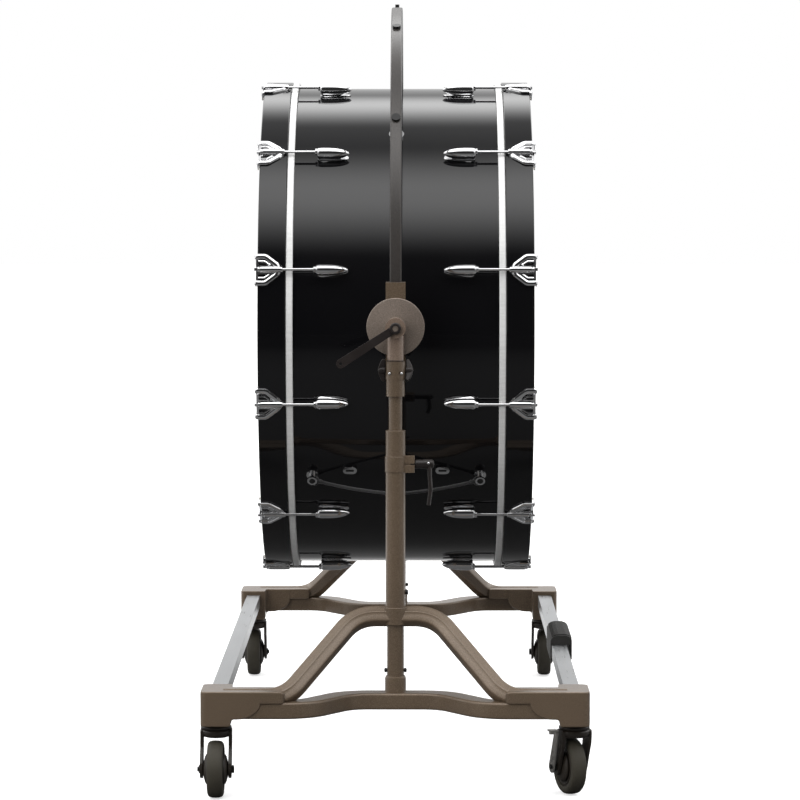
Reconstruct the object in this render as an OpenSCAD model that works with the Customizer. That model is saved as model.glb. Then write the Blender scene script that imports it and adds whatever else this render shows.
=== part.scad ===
// Concert bass drum hung in a swivelling ring on a wheeled stand.
// X runs along the drum's axis, Y along the tilt axis and Z up, with the origin on the
// floor under the middle of the stand. "Near" is the -Y end and "far" the +Y end.

/* [Drum] */
// Outer diameter of the shell
shell_d = 914; // [880:2:920]
// Length of the shell between its two bearing edges
shell_len = 406; // [380:2:420]
// Thickness of the ply shell
shell_wall = 8; // [6:0.5:12]
// Width of each counterhoop along the drum's axis
hoop_w = 51; // [45:1:56]
// Outer diameter of the counterhoops
hoop_d = 938; // [936:1:944]
// Width of the flesh hoop that shows beside each counterhoop
flesh_w = 12.5; // [9:0.5:14]
// Tuning lugs on each side of the drum
lug_count = 12; // [8:2:12]
// Distance of the tension rods from the drum's axis
rod_r = 473; // [472.5:0.5:475]

/* [Ring] */
// Height of the tilt axis above the floor
axis_z = 817; // [800:1:860]
// Outer radius of the swivelling ring
ring_r = 588; // [580:1:589]
// Width of the ring along the drum's axis
ring_w = 21; // [16:1:26]
// Thickness of the ring from its inside to its outside
ring_t = 20; // [14:1:24]
// How far the drum's axis hangs below the tilt axis
drum_drop = 25; // [15:1:30]

/* [Masts] */
// Distance of each mast from the middle of the stand
mast_y = 618; // [616:1:622]
// Diameter of the lower post
post_d = 30; // [28:1:32]
// Diameter of the fixed outer tube
outer_d = 35; // [34:1:38]
// Diameter of the sliding inner tube
inner_d = 24; // [22:1:25]
// Highest point of the outer tube
outer_top = 636; // [620:1:640]
// Radial clearance of the sliding and turning fits
fit = 0.05; // [0.02:0.01:0.1]

/* [Base] */
// Width of the stand over its corner blocks
base_w = 678; // [660:2:700]
// Distance between the outer faces of the two end castings
base_l = 1500; // [1480:2:1520]
// Height of the corner blocks' top faces
corner_top = 190; // [188:1:192]
// Height of the arch's centre line over the floor
arch_z = 305.5; // [300:0.5:310]
// Width of each aluminium side bar
bar_w = 28; // [24:1:32]

/* [Casters] */
// Diameter of the wheels
wheel_d = 100; // [90:1:100]
// Width of the tyres
tyre_w = 28; // [24:1:30]
// Distance of the axle behind the swivel's axis
trail = 20; // [10:1:24]
// Angle that the near right caster is turned by
caster_turn = 20; // [0:1:45]

/* [Hidden] */
$fn = 96;

// Drum
drum_z = axis_z - drum_drop;
shell_r = shell_d / 2;
edge_x = shell_len / 2;
hoop_in = edge_x - 3.2;
hoop_out = hoop_in + hoop_w;
hoop_r = hoop_d / 2;
hoop_wall = 9.5;
flesh_out = hoop_in - 0.3;
flesh_in = flesh_out - flesh_w;
head_t = 1;
claw_half = 30;
claw_tip = hoop_in + 6;
claw_t = 3.2;
lug_outer = 137;
lug_inner = 90;
lug_top = 480;
rod_d = 5.6;

// Ring, and where its cords are held: angles above the horizontal, on the near side
upper_hook_a = 53;
upper_bolts_a = [39, 67];
lower_bolt_a = -35;
lower_post_a = -34;
lower_post_x = 154;
stud_x = 85;
stud_a = -32.5;
cord_d = 6;
post_top_r = 478;
shank_r = 3.5;
hook_shank_r = 4;
bolt_eye_r = ring_r - ring_t - 12;

// Masts
post_foot = 172;
post_top = 400;
tube_foot = 312;
bush_len = 40;
inner_foot = 440;
inner_head = 700;
collar_foot = 696;
collar_step = 726;
collar_head = 758;
clamp_z0 = 560;
clamp_z1 = 592;
lever_x = 62;
disc_back = mast_y - 24;
disc_front = mast_y - 15;
boss_front = mast_y + 22;
pin_r = 6;

// Base
half_w = base_w / 2;
half_l = base_l / 2;
corner_w = 52;
corner_l = 95;
corner_foot = 128;
low_z0 = 141;
low_z1 = 170;
low_d = 44;
low_y = half_l - 3 - low_d / 2;
arch_w = 33;
arch_foot_z = 173.5;
arch_foot_y = half_l - 25;
arch_bend_x = 192;
arch_top_x = 70;
cross_bolt_up = 37;
bar_x = half_w - 27;
bar_top = 181;
bar_h = 25;
bar_wall = 2.5;
bar_len = base_l - 2 * corner_l;
bar_grip = 12;
bar_step = 0.3;
bar_bolt_r = 3;

// Casters
stem_x = half_w - corner_w / 2 + 0.5;
stem_y = half_l - 47;
stem_r = 6;
wheel_r = wheel_d / 2;
crown_top = corner_foot - 9.5;
arm_in = 22.4;
arm_out = 27.3;
axle_r = 4;

// ---------- plane geometry ----------

function unit(v) = v / norm(v);
function left_of(d) = [-d[1], d[0]];
function reversed(v) = [for (i = [len(v) - 1:-1:0]) v[i]];

// Points of the arc that rounds corner b of the line a-b-c with radius r
function round_corner(a, b, c, r, steps = 8) =
    let (d1 = unit(b - a), d2 = unit(c - b),
         side = sign(d1[0] * d2[1] - d1[1] * d2[0]),
         turn = acos(d1 * d2),
         start = b - d1 * r * tan(turn / 2),
         centre = start + side * r * left_of(d1),
         a0 = atan2(start[1] - centre[1], start[0] - centre[0]))
    [for (i = [0:steps]) let (t = a0 + side * turn * i / steps)
        centre + r * [cos(t), sin(t)]];

// A line through the given points with every inner corner rounded
function round_line(p, r) = concat([p[0]],
    [for (i = [1:len(p) - 2]) each round_corner(p[i - 1], p[i], p[i + 1], r)],
    [p[len(p) - 1]]);

// Outline of a band of width w that follows a line
function band(line, w) =
    let (n = len(line),
         side = [for (i = [0:n - 1])
             left_of(unit(line[min(i + 1, n - 1)] - line[max(i - 1, 0)]))])
    concat([for (i = [0:n - 1]) line[i] + side[i] * w / 2],
           reversed([for (i = [0:n - 1]) line[i] - side[i] * w / 2]));

// Outline of two round ends of different size joined by straight sides
function two_rounds(c1, r1, c2, r2, steps = 12) =
    let (d = c2 - c1, dir = atan2(d[1], d[0]), open = acos((r1 - r2) / norm(d)))
    concat([for (i = [0:steps]) let (t = dir + open + (360 - 2 * open) * i / steps)
                c1 + r1 * [cos(t), sin(t)]],
           [for (i = [0:steps]) let (t = dir - open + 2 * open * i / steps)
                c2 + r2 * [cos(t), sin(t)]]);

module rounded_square(w, l, r) {
    square([w - 2 * r, l], center = true);
    square([w, l - 2 * r], center = true);
    for (x = [-1, 1], y = [-1, 1])
        translate([x * (w / 2 - r), y * (l / 2 - r)]) circle(r);
}

// ---------- placing ----------

module far() mirror([0, 1, 0]) children();
module both_ends() { children(); far() children(); }
module both_sides() { children(); mirror([1, 0, 0]) children(); }

// A cylinder along X or along Y between two coordinates
module x_rod(r, x0, x1) translate([x0, 0, 0]) rotate([0, 90, 0]) cylinder(r = r, h = x1 - x0);
module y_rod(r, y0, y1) translate([0, y0, 0]) rotate([-90, 0, 0]) cylinder(r = r, h = y1 - y0);
module x_pipe(ro, ri, x0, x1) difference() {
    x_rod(ro, x0, x1);
    x_rod(ri, x0 - 1, x1 + 1);
}

// Turns +Z into the outward direction at angle a above the horizontal on the near side
module at_drum(a = 90) translate([0, 0, drum_z]) rotate([90 - a, 0, 0]) children();
module at_ring(a = 90) translate([0, 0, axis_z]) rotate([90 - a, 0, 0]) children();
function drum_point(x, a, r) = [x, -r * cos(a), drum_z + r * sin(a)];
function ring_point(a, r) = [0, -r * cos(a), axis_z + r * sin(a)];

module rod_between(p, q, d) {
    v = q - p;
    translate(p) rotate([0, acos(v[2] / norm(v)), atan2(v[1], v[0])])
        cylinder(d = d, h = norm(v), $fn = 24);
}

// ---------- base ----------

// Centre line of the arch in its own leaning plane, from the left corner to the right
function arch_rise() = norm([arch_z - arch_foot_z, arch_foot_y - mast_y]);
function arch_line() = round_line([[-300, 0], [-arch_bend_x, 0],
    [-arch_top_x, arch_rise()], [arch_top_x, arch_rise()],
    [arch_bend_x, 0], [300, 0]], 36);
// Centre line of the lower bar seen from above, bowed in towards the mast
function low_line() = round_line([[-300, -low_y], [-160, -low_y], [-85, -mast_y],
    [85, -mast_y], [160, -low_y], [300, -low_y]], 60);

module arch() {
    lean = atan2(arch_foot_y - mast_y, arch_z - arch_foot_z);
    translate([0, -arch_foot_y, arch_foot_z]) rotate([90 - lean, 0, 0]) {
        linear_extrude(22, center = true) polygon(band(arch_line(), arch_w));
        linear_extrude(27, center = true) polygon(band(arch_line(), arch_w * 0.62));
        linear_extrude(30, center = true) polygon(band(arch_line(), arch_w * 0.24));
    }
}

module end_casting() difference() {
    union() {
        both_sides() translate([half_w - corner_w / 2, -half_l + corner_l / 2, corner_foot])
            linear_extrude(corner_top - corner_foot) rounded_square(corner_w, corner_l, 10);
        both_sides() translate([185, -low_y - low_d / 2, low_z0])
            cube([half_w - corner_w - 175, low_d, corner_top - low_z0 - 4]);
        translate([0, 0, low_z0]) linear_extrude(low_z1 - low_z0)
            polygon(band(low_line(), low_d));
        arch();
        translate([0, -mast_y, arch_z - arch_w / 2 + 2]) cylinder(r = 20.5, h = arch_w - 2);
    }
    both_sides() translate([stem_x, -stem_y, corner_foot - 1])
        cylinder(r = stem_r + fit, h = 31);
    translate([0, -mast_y, low_z1 + 2]) cylinder(d = post_d + 0.2, h = 200);
    translate([0, -mast_y, tube_foot - 0.1]) cylinder(d = outer_d + 0.2, h = 60);
    bar_pockets();
}

module side_bars() both_sides()
    translate([bar_x - bar_w / 2, -half_l + corner_l - bar_grip, bar_top - bar_h])
        difference() {
            cube([bar_w, bar_len + 2 * bar_grip, bar_h]);
            translate([bar_wall, -1, bar_wall])
                cube([bar_w - 2 * bar_wall, base_l, bar_h - 2 * bar_wall]);
            // the ends that stand in the castings are a little lower
            for (y = [-1, bar_len + bar_grip - 2 * bar_step])
                translate([-1, y, bar_h - bar_step])
                    cube([bar_w + 2, bar_grip + 1 + 2 * bar_step, 1]);
        }

module at_bar_bolts() both_sides()
    translate([bar_x, -half_l + corner_l - bar_grip / 2, 0]) children();

// Sockets for the ends of the bars, with a hole under each for its bolt
module bar_pockets() {
    both_sides() translate([bar_x - bar_w / 2 - 0.1, -half_l + corner_l - bar_grip - 0.1,
        bar_top - bar_h - 0.1]) cube([bar_w + 0.2, base_l, bar_h + 0.2]);
    at_bar_bolts() translate([0, 0, corner_foot - 1]) cylinder(r = bar_bolt_r + 0.1, h = 30);
}

module bar_bolts() both_ends() at_bar_bolts() {
    translate([0, 0, corner_foot - 2])
        cylinder(r = bar_bolt_r, h = bar_top - bar_h - corner_foot + 1.8);
    translate([0, 0, corner_foot - 4.1]) cylinder(r = 6, h = 4, $fn = 6);
}

module mast_posts() both_ends() translate([0, -mast_y, post_foot]) difference() {
    cylinder(d = post_d, h = post_top - post_foot);
    translate([0, 0, -1]) cylinder(d = post_d - 5, h = 300);
    translate([0, 0, cross_bolt_up]) x_rod(3.1, -30, 30);
}

module post_sockets() both_ends() translate([0, -mast_y, low_z1]) difference() {
    union() {
        cylinder(r = 18.6, h = 25);
        translate([0, 0, 25]) cylinder(r1 = 18.6, r2 = 17.2, h = 4);
    }
    translate([0, 0, 2]) cylinder(d = post_d + 0.2, h = 40);
}

module cross_bolts() both_ends() translate([0, -mast_y, 0]) {
    translate([0, 0, post_foot + cross_bolt_up]) {
        x_rod(3, -20, 20);
        both_sides() x_rod(4.2, post_d / 2 + 0.6, post_d / 2 + 3.6);
    }
    translate([0, 0, 348]) x_rod(4, outer_d / 2 + 0.1, outer_d / 2 + 5);
}

module outer_tubes() both_ends() translate([0, -mast_y, tube_foot]) difference() {
    cylinder(d = outer_d, h = outer_top - tube_foot);
    translate([0, 0, -1]) cylinder(d = post_d + 0.2, h = outer_top - tube_foot - bush_len + 1);
    cylinder(r = inner_d / 2 + fit, h = 400);
}

module height_clamps() both_ends() translate([0, -mast_y, clamp_z0]) difference() {
    h = clamp_z1 - clamp_z0;
    union() {
        cylinder(r = 22, h = h);
        translate([14, -8, 0]) cube([20, 16, h]);
    }
    translate([0, 0, -1]) cylinder(r = outer_d / 2 + 0.1, h = h + 2);
    translate([15, -1, -1]) cube([30, 2, h + 2]);
    translate([0, 0, h / 2]) x_rod(4 + fit, 20, 40);
}

// A ribbed rubber saddle clipped over the right side bar
module foot_rest() {
    x0 = bar_x - bar_w / 2 - 3;
    x1 = half_w - 1.5;
    wall = 2.8;
    translate([0, 98, 0]) rotate([90, 0, 0]) linear_extrude(196) difference() {
        polygon([[x0, 150], [x0, 191], [x0 + 5, 197], [x0 + 16, 200.5],
            [x1 - 12, 200.5], [x1 - 3, 196], [x1, 189], [x1, 152], [x1 - 4, 150]]);
        translate([x0 + wall, 140]) square([bar_w + 0.4, bar_top - 140 + 0.2]);
        translate([x0 + bar_w + 7, 140]) square([x1 - x0 - bar_w - 10, 50]);
    }
    translate([0, 0, 200.4]) for (i = [0:24])
        translate([x0 + 16, -94 + i * 7.6, 0]) cube([x1 - x0 - 28, 3.6, 1.4]);
}

// ---------- casters ----------

// The four corners: side, end and the angle that each caster has swivelled to
CASTERS = [[-1, -1, 0], [1, -1, 180 + caster_turn], [-1, 1, 180], [1, 1, 180]];

module at_caster(i) translate([CASTERS[i][0] * stem_x, CASTERS[i][1] * stem_y, 0])
    rotate([0, 0, CASTERS[i][2]]) children();
module at_axle(i) at_caster(i) translate([0, -trail, wheel_r]) children();

module caster_bearings() for (i = [0:3]) at_caster(i)
    translate([0, 0, corner_foot - 9]) difference() {
        union() {
            cylinder(r = 27, h = 4.5);
            translate([0, 0, 4.5]) cylinder(r = 24.5, h = 4.4);
        }
        translate([0, 0, -1]) cylinder(r = stem_r + fit, h = 20);
    }

module fork(i) difference() {
    union() {
        at_caster(i) translate([0, 0, crown_top - 9]) cylinder(r = arm_out, h = 9);
        at_caster(i) both_sides() translate([arm_in, 0, 0]) rotate([90, 0, 90])
            linear_extrude(arm_out - arm_in) difference() {
                polygon(two_rounds([0, crown_top - 15], 15, [-trail, wheel_r], 13));
                translate([-40, crown_top - 1]) square([80, 30]);
            }
        at_caster(i) translate([0, 0, crown_top - 4]) cylinder(r = stem_r, h = 36);
    }
    at_axle(i) x_rod(axle_r + 0.02, -40, 40);
}

module tyre(i) at_axle(i) rotate([0, 90, 0]) rotate_extrude() {
    h = tyre_w / 2;
    difference() {
        union() {
            translate([36, -h + 3]) square([11, tyre_w - 6]);
            translate([36, -h]) square([8, tyre_w]);
            translate([38, -h + 4]) square([wheel_r - 38, tyre_w - 8]);
            for (s = [-1, 1]) translate([wheel_r - 6, s * (h - 6)]) circle(6, $fn = 32);
        }
        translate([0, -50]) square([36, 100]);
    }
}

module hub(i) at_axle(i) difference() {
    union() {
        x_rod(35.9, -11, 11);
        x_rod(13, -arm_in + 0.3, arm_in - 0.3);
    }
    x_rod(axle_r + fit, -40, 40);
    for (s = [-1, 1]) translate([s * 11, 0, 0]) x_pipe(31, 16, -5, 5);
}

module axle(i) at_axle(i) {
    x_rod(axle_r, -arm_out - 5, arm_out + (i == 1 ? 10.5 : 5));
    translate([arm_out + 0.1, 0, 0]) rotate([0, 90, 0]) cylinder(r = 7, h = 4.5, $fn = 6);
    x_rod(7, -arm_out - 2.6, -arm_out - 0.1);
}

// A plate beside the near right fork, turning on the axle, with a toe tab on top
module brake() {
    plate_x = arm_out + 5.3;
    at_axle(1) difference() {
        union() {
            translate([plate_x, 0, 0]) rotate([90, 0, 90]) linear_extrude(2.6)
                polygon(two_rounds([0, 0], 11, [trail, 62], 7));
            translate([plate_x, trail - 8, 66]) cube([15, 16, 3]);
            translate([plate_x + 10, trail, 61]) cylinder(r = 5, h = 6, $fn = 6);
        }
        x_rod(axle_r + 0.3, 20, 60);
    }
}

// ---------- masts ----------

module inner_tube() translate([0, -mast_y, inner_foot]) difference() {
    cylinder(d = inner_d, h = inner_head - inner_foot);
    translate([0, 0, -1]) cylinder(d = inner_d - 4, h = 400);
}

module collar() translate([0, -mast_y, 0]) difference() {
    union() {
        translate([0, 0, collar_foot]) cylinder(r = 16.5, h = collar_step - collar_foot);
        translate([0, 0, collar_step]) cylinder(r = 17.3, h = 22);
        translate([0, 0, collar_step + 22]) cylinder(r = 17.3, h = 9.5);
    }
    translate([0, 0, collar_foot - 1]) cylinder(d = inner_d + 0.1, h = inner_head - collar_foot + 1);
    translate([0, 0, inner_head + 1]) cylinder(r = 10.6, h = 80);
    translate([0, 0, collar_step + 16]) x_rod(3 + fit, -30, 30);
    for (s = [-1, 1]) translate([s * 10, -17.3, collar_step + 11]) sphere(4.5, $fn = 32);
}

module tilt_housing() translate([0, -mast_y, 0]) difference() {
    union() {
        translate([0, 0, collar_head]) cylinder(r = 14.75, h = axis_z - collar_head);
        translate([0, 0, collar_step + 26]) cylinder(r = 10.4, h = 20);
        translate([0, mast_y, axis_z]) y_rod(18, -boss_front, -disc_front - 0.4);
    }
    translate([0, mast_y, axis_z]) y_rod(pin_r + fit, -boss_front - 1, -disc_front + 5);
}

// A thumb screw through the right or the left of a collar
module wing_bolt(side, tip) translate([0, -mast_y, collar_step + 16]) {
    x_rod(3, side > 0 ? 11 : -24, side > 0 ? 24 : -11);
    translate([side * 21.5, 0, 0]) {
        x_rod(6, -4, 4);
        rotate([tip + 90, 0, 0])
            linear_extrude(5, center = true) polygon([[side * -1.5, -4], [side * -2.5, -19],
                [side * 3, -21], [side * 8, -8], [side * 10, 0], [side * 8, 8],
                [side * 3, 21], [side * -2.5, 19], [side * -1.5, 4]]);
    }
}

module height_lever() translate([0, -mast_y, (clamp_z0 + clamp_z1) / 2]) {
    x_rod(4, 22, 40);
    x_rod(8, 34.4, lever_x - 6);
    translate([lever_x - 6, 0, 0]) rotate([90, 0, 90])
        linear_extrude(9) polygon(two_rounds([0, 2], 9, [0, -68], 5));
}

module tilt_lever() translate([0, -boss_front - 0.4, axis_z]) {
    difference() {
        union() {
            y_rod(10, -13, 0);
            rotate([90, 0, 0]) translate([0, 0, 3]) linear_extrude(8)
                polygon(two_rounds([0, 0], 7, [-96, -62], 9.5));
        }
        y_rod(pin_r + fit, -20, 1);
    }
}

// ---------- ring ----------

module ring_shape(gap = 0) translate([0, 0, axis_z]) rotate([0, 90, 0])
    rotate_extrude($fn = 180) translate([ring_r - ring_t / 2, 0])
        square([ring_t + 2 * gap, ring_w + 2 * gap], center = true);

module bolt_sites() both_ends() for (a = concat(upper_bolts_a, [lower_bolt_a]))
    at_ring(a) children();

module ring() difference() {
    ring_shape();
    bolt_sites() translate([0, 0, ring_r - ring_t - 5]) cylinder(r = 4.1, h = ring_t + 10);
    translate([0, 0, axis_z + ring_r - 10]) cylinder(r = 2.6, h = 20);
}

module ring_brackets() both_ends() difference() {
    translate([-17.5, -disc_back, axis_z - 79]) cube([35, disc_back - ring_r + 28, 158]);
    ring_shape(0.1);
    translate([0, 0, axis_z]) y_rod(pin_r + 0.1, -disc_back - 1, -ring_r - 0.1);
}

module tilt_disc() translate([0, 0, axis_z]) {
    y_rod(51.5, -disc_back - 3, -disc_back);
    translate([0, -disc_back - 3, 0]) rotate([90, 0, 0])
        cylinder(r1 = 51.5, r2 = 18, h = disc_front - disc_back - 3);
    y_rod(pin_r, -boss_front - 12, -ring_r - 0.2);
}

module ring_bolts() bolt_sites() {
    translate([0, 0, ring_r + 0.1]) cylinder(r = 8, h = 4.5);
    translate([0, 0, bolt_eye_r]) cylinder(r = 4, h = ring_r - bolt_eye_r + 1);
    translate([0, 0, bolt_eye_r]) rotate([0, 90, 0])
        rotate_extrude() translate([7.5, 0]) circle(2.6, $fn = 24);
}

module ring_peg() translate([0, 0, axis_z + ring_r - 9.5]) {
    cylinder(r = 2.5, h = 12);
    translate([0, 0, 9.6]) cylinder(r = 4, h = 6);
}

// ---------- suspension ----------

// Two cords span from posts on the shell to a lower ring bolt, and two from the upper
// ring bolts to a hook on the shell, at each end of the drum
module suspension_cords() both_ends() {
    low = ring_point(lower_bolt_a, bolt_eye_r - 14);
    both_sides() rod_between(drum_point(lower_post_x - 9, lower_post_a - 0.9, post_top_r - 9),
        low + [3, 0, 0], cord_d);
    hook = drum_point(0, upper_hook_a, post_top_r + 11);
    for (a = upper_bolts_a) rod_between(ring_point(a, bolt_eye_r - 14), hook, cord_d);
}

module shell_hooks() both_ends() at_drum(upper_hook_a) {
    translate([0, 0, shell_r + 0.1]) cylinder(r = 14, h = 4);
    translate([0, 0, shell_r - shell_wall - 3]) cylinder(r = hook_shank_r, h = 14);
    translate([0, 0, shell_r + 12]) rotate([0, 90, 0])
        rotate_extrude() translate([7.5, 0]) circle(2.6, $fn = 24);
}

module suspension_posts() both_ends() both_sides() at_drum(lower_post_a)
    translate([lower_post_x, 0, 0]) {
        translate([0, 0, shell_r + 0.5]) cylinder(r = 11, h = 2.5);
        translate([0, 0, shell_r - shell_wall - 3]) cylinder(r = shank_r, h = 28);
        translate([0, 0, shell_r + 3]) cylinder(r = 5, h = 12);
        translate([0, 0, post_top_r - 4]) cylinder(r = 9, h = 4);
    }

module guide_studs() both_ends() both_sides() at_drum(stud_a) translate([stud_x, 0, 0]) {
    translate([0, 0, shell_r - shell_wall - 3]) cylinder(r = shank_r, h = shell_wall + 4);
    translate([0, 0, shell_r + 0.6]) linear_extrude(5)
        polygon(two_rounds([-5, 0], 8, [5, 0], 7.9));
}

module backing_plates() both_ends() difference() {
    at_drum((lower_post_a + stud_a) / 2)
        translate([-lower_post_x - 16, -20, shell_r - shell_wall - 5.5])
            cube([2 * lower_post_x + 32, 40, 4]);
    both_sides() at_drum(lower_post_a) translate([lower_post_x, 0, 400])
        cylinder(r = shank_r + 0.1, h = 60);
    both_sides() at_drum(stud_a) translate([stud_x, 0, 400]) cylinder(r = shank_r + 0.1, h = 60);
}

// ---------- drum ----------

module at_lugs() for (i = [0:lug_count - 1])
    at_drum(180 / lug_count + i * 360 / lug_count) both_sides() children();

module shell() difference() {
    at_drum() difference() {
        x_pipe(shell_r, shell_r - shell_wall, -edge_x, edge_x);
        both_sides() translate([edge_x + 0.1, 0, 0]) rotate([0, -90, 0])
            cylinder(r1 = shell_r - 1.5, r2 = shell_r - shell_wall - 0.1, h = 7);
    }
    both_ends() {
        at_drum(upper_hook_a) translate([0, 0, 400])
            cylinder(r = hook_shank_r + 0.1, h = 90);
        both_sides() at_drum(lower_post_a) translate([lower_post_x, 0, 400])
            cylinder(r = shank_r + 0.1, h = 90);
        both_sides() at_drum(stud_a) translate([stud_x, 0, 400]) cylinder(r = shank_r + 0.1, h = 90);
    }
}

module heads() at_drum() both_sides() {
    x_rod(shell_r + 0.2, edge_x + 0.2, edge_x + 0.2 + head_t);
    x_pipe(shell_r + 0.2 + head_t, shell_r + 0.2, flesh_in + 3, edge_x + 0.2 + head_t);
}

module flesh_hoops() at_drum() both_sides()
    x_pipe(hoop_r - 2, shell_r + head_t + 0.4, flesh_in, flesh_out);

module counterhoops() at_drum() both_sides() difference() {
    x_pipe(hoop_r, hoop_r - hoop_wall, hoop_in, hoop_out);
    translate([hoop_out + 0.1, 0, 0]) rotate([0, -90, 0])
        cylinder(r1 = hoop_r - hoop_wall + 4, r2 = hoop_r - hoop_wall - 0.1, h = 4.2);
}

// A claw hooks over the outer edge of the hoop and carries a rod in its sleeve
module claws() at_lugs() difference() {
    union() {
        translate([0, 0, hoop_r + 0.3]) linear_extrude(claw_t) polygon([
            [hoop_out + claw_t, -claw_half], [hoop_out - 16, -claw_half],
            [claw_tip + 6, -12], [claw_tip, -6], [claw_tip, 6], [claw_tip + 6, 12],
            [hoop_out - 16, claw_half], [hoop_out + claw_t, claw_half]]);
        translate([hoop_out + 0.3, -claw_half, hoop_r - 14])
            cube([claw_t, 2 * claw_half, 14 + claw_t]);
        translate([0, 0, rod_r]) x_rod(6, claw_tip, hoop_out - 5);
    }
    translate([0, 0, rod_r]) x_rod(rod_d / 2 + 0.1, 180, 270);
    translate([0, 0, rod_r]) x_rod(5.4, hoop_out - 5, 270);
    for (s = [-1, 1]) translate([hoop_out - 20, s * 12 - 4, hoop_r - 20]) cube([40, 8, 60]);
    x_rod(hoop_r + 0.2, hoop_in - 1, hoop_out + 0.2);
}

module tension_rods() at_lugs() translate([0, 0, rod_r]) {
    x_rod(rod_d / 2, 116, hoop_out - 4);
    x_rod(3.9, hoop_out - 4.8, hoop_out + 2.5);
}

module lugs() at_lugs() difference() {
    translate([0, 0, shell_r + 0.3]) {
        linear_extrude(lug_top - shell_r - 5)
            polygon(two_rounds([lug_outer, 0], 10, [lug_inner, 0], 4));
        linear_extrude(lug_top - shell_r - 0.3)
            polygon(two_rounds([lug_outer - 2, 0], 6, [lug_inner + 10, 0], 3));
    }
    translate([0, 0, rod_r]) x_rod(rod_d / 2 + 0.1, 110, 160);
}

// ---------- nodes ----------

bronze = [0.33, 0.29, 0.26];
chrome = [0.82, 0.83, 0.85];
silver = [0.86, 0.87, 0.88];
dark = [0.13, 0.13, 0.13];
gloss_black = [0.03, 0.03, 0.04];
rubber = [0.22, 0.21, 0.18];

color(bronze) end_casting();  // near_casting
color(bronze) far() end_casting();  // far_casting
color(silver) side_bars();
color(dark) bar_bolts();
color(bronze) mast_posts();
color(bronze) post_sockets();
color(dark) cross_bolts();
color(bronze) outer_tubes();
color(bronze) height_clamps();
color(dark) foot_rest();
color(bronze) caster_bearings();
color(bronze) fork(0);  // near_left_fork
color(rubber) tyre(0);  // near_left_tyre
color(dark) hub(0);  // near_left_hub
color(chrome) axle(0);  // near_left_axle
color(bronze) fork(1);  // near_right_fork
color(rubber) tyre(1);  // near_right_tyre
color(dark) hub(1);  // near_right_hub
color(chrome) axle(1);  // near_right_axle
color(bronze) fork(2);  // far_left_fork
color(rubber) tyre(2);  // far_left_tyre
color(dark) hub(2);  // far_left_hub
color(chrome) axle(2);  // far_left_axle
color(bronze) fork(3);  // far_right_fork
color(rubber) tyre(3);  // far_right_tyre
color(dark) hub(3);  // far_right_hub
color(chrome) axle(3);  // far_right_axle
color(chrome) brake();  // near_right_brake
color(bronze) inner_tube();  // near_inner_tube
color(bronze) collar();  // near_collar
color(bronze) tilt_housing();  // near_tilt_housing
color(bronze) far() inner_tube();  // far_inner_tube
color(bronze) far() collar();  // far_collar
color(bronze) far() tilt_housing();  // far_tilt_housing
color(dark) wing_bolt(-1, 8);  // near_left_wing_bolt
color(dark) wing_bolt(1, -25);  // near_right_wing_bolt
color(dark) far() wing_bolt(-1, -12);  // far_left_wing_bolt
color(dark) far() wing_bolt(1, 18);  // far_right_wing_bolt
color(dark) height_lever();  // near_height_lever
color(dark) far() height_lever();  // far_height_lever
color(dark) tilt_lever();
color(bronze) ring();
color(bronze) ring_brackets();
color(bronze) tilt_disc();  // near_tilt_disc
color(bronze) far() tilt_disc();  // far_tilt_disc
color(dark) ring_bolts();
color(dark) ring_peg();
color(dark) suspension_cords();
color(chrome) shell_hooks();
color(chrome) suspension_posts();
color(chrome) guide_studs();
color(dark) backing_plates();
color(gloss_black) shell();
color("ivory") heads();
color(silver) flesh_hoops();
color(gloss_black) counterhoops();
color(chrome) claws();
color(chrome) tension_rods();
color(chrome) lugs();
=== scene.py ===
"""A concert bass drum hung in a swivelling ring on a wheeled stand, dressed for rendering."""
import math

import bmesh
import bpy
from mathutils import Matrix, Vector


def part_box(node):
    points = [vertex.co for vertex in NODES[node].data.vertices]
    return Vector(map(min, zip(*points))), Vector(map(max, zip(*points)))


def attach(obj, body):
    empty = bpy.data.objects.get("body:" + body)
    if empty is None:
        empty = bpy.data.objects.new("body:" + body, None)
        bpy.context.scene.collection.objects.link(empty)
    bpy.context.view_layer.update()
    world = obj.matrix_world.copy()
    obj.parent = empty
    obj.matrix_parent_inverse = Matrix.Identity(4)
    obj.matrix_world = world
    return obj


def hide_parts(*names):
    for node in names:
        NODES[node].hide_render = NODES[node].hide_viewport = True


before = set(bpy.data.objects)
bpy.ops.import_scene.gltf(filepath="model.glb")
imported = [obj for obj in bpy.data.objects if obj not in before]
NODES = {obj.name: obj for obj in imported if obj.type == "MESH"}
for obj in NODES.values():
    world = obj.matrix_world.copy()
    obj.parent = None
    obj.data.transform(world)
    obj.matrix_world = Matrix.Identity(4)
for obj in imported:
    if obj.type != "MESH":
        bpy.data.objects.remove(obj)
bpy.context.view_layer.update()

MM = 0.001
X, Y, Z = range(3)


def span(node, axis):
    """A node's lowest and highest coordinate along an axis, in millimetres."""
    return [round(corner[axis] / MM, 1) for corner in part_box(node)]


def middle(node, axis):
    """The middle of a node along an axis, in millimetres."""
    return sum(span(node, axis)) / 2


def half_size(node, axis):
    """Half of a node's size along an axis, in millimetres."""
    low, high = span(node, axis)
    return (high - low) / 2


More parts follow.
